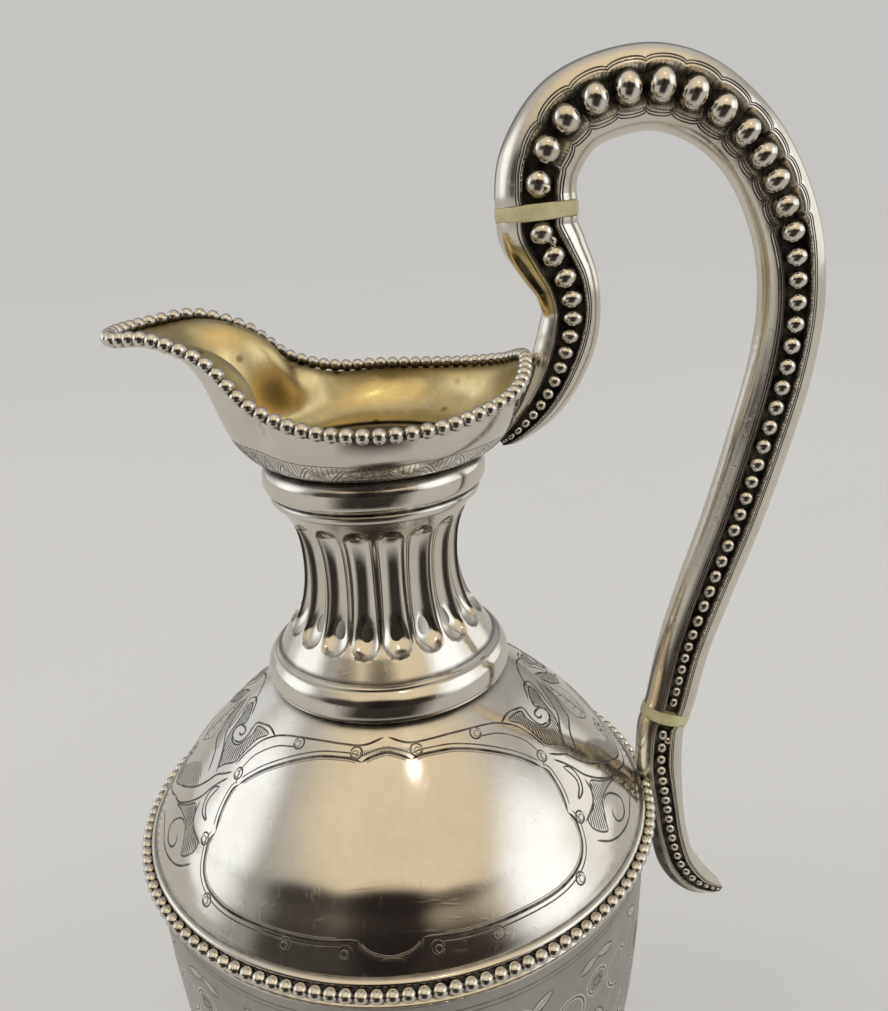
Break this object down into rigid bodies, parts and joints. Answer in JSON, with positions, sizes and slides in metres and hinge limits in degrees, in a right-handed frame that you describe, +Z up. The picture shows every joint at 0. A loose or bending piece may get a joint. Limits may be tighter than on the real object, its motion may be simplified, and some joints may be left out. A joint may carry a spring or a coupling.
{
  "type": "water pitcher",
  "caption": "Silver water jug with an ovoid body on a low round foot, fluted neck, beaded helmet mouth and a tall loop handle with bone insulators.",
  "frame": {"origin": "centre of the underside of the foot, on the axis of the body", "axes": "+Z up the body's axis; -X towards the spout's tip, +X towards the handle; the jug is symmetric about the plane Y = 0"},
  "size_m": [0.1666, 0.131, 0.3245],
  "materials": {
    "silver_polished": "hand-polished silver with fine scratches and dark oxide in its recesses",
    "silver_beads": "polished silver beads with dark oxide between them",
    "silver_engraved": "frosted and engraved silver",
    "gilt": "worn gilding with tarnish spots",
    "bone": "polished bone, creamy with fine grain"
  },
  "bodies": {
    "root": {"base_plate": "silver_polished", "foot": "silver_polished", "foot_bead_border": "silver_beads", "stem_ring": "silver_polished", "body": "silver_engraved", "shoulder_band": "silver_polished", "shoulder_bead_border": "silver_beads", "shoulder_dome": "silver_polished", "neck_collar": "silver_polished", "neck": "silver_polished", "neck_top_ring": "silver_polished", "mouth_bowl": "silver_polished", "gilt_lining": "gilt", "rim_bead_wire": "silver_beads", "upper_insulator": "bone", "lower_insulator": "bone", "upper_pin_low": "silver_polished", "upper_pin_high": "silver_polished", "lower_pin_high": "silver_polished", "lower_pin_low": "silver_polished", "upper_socket_left": "silver_polished", "upper_socket_right": "silver_polished", "arm_left": "silver_polished", "arm_right": "silver_polished", "lower_socket_left": "silver_polished", "lower_socket_right": "silver_polished", "upper_socket_beads_left": "silver_beads", "upper_socket_beads_right": "silver_beads", "arm_beads_left": "silver_beads", "arm_beads_right": "silver_beads", "lower_socket_beads_left": "silver_beads", "lower_socket_beads_right": "silver_beads"}
  },
  "joints": []
}
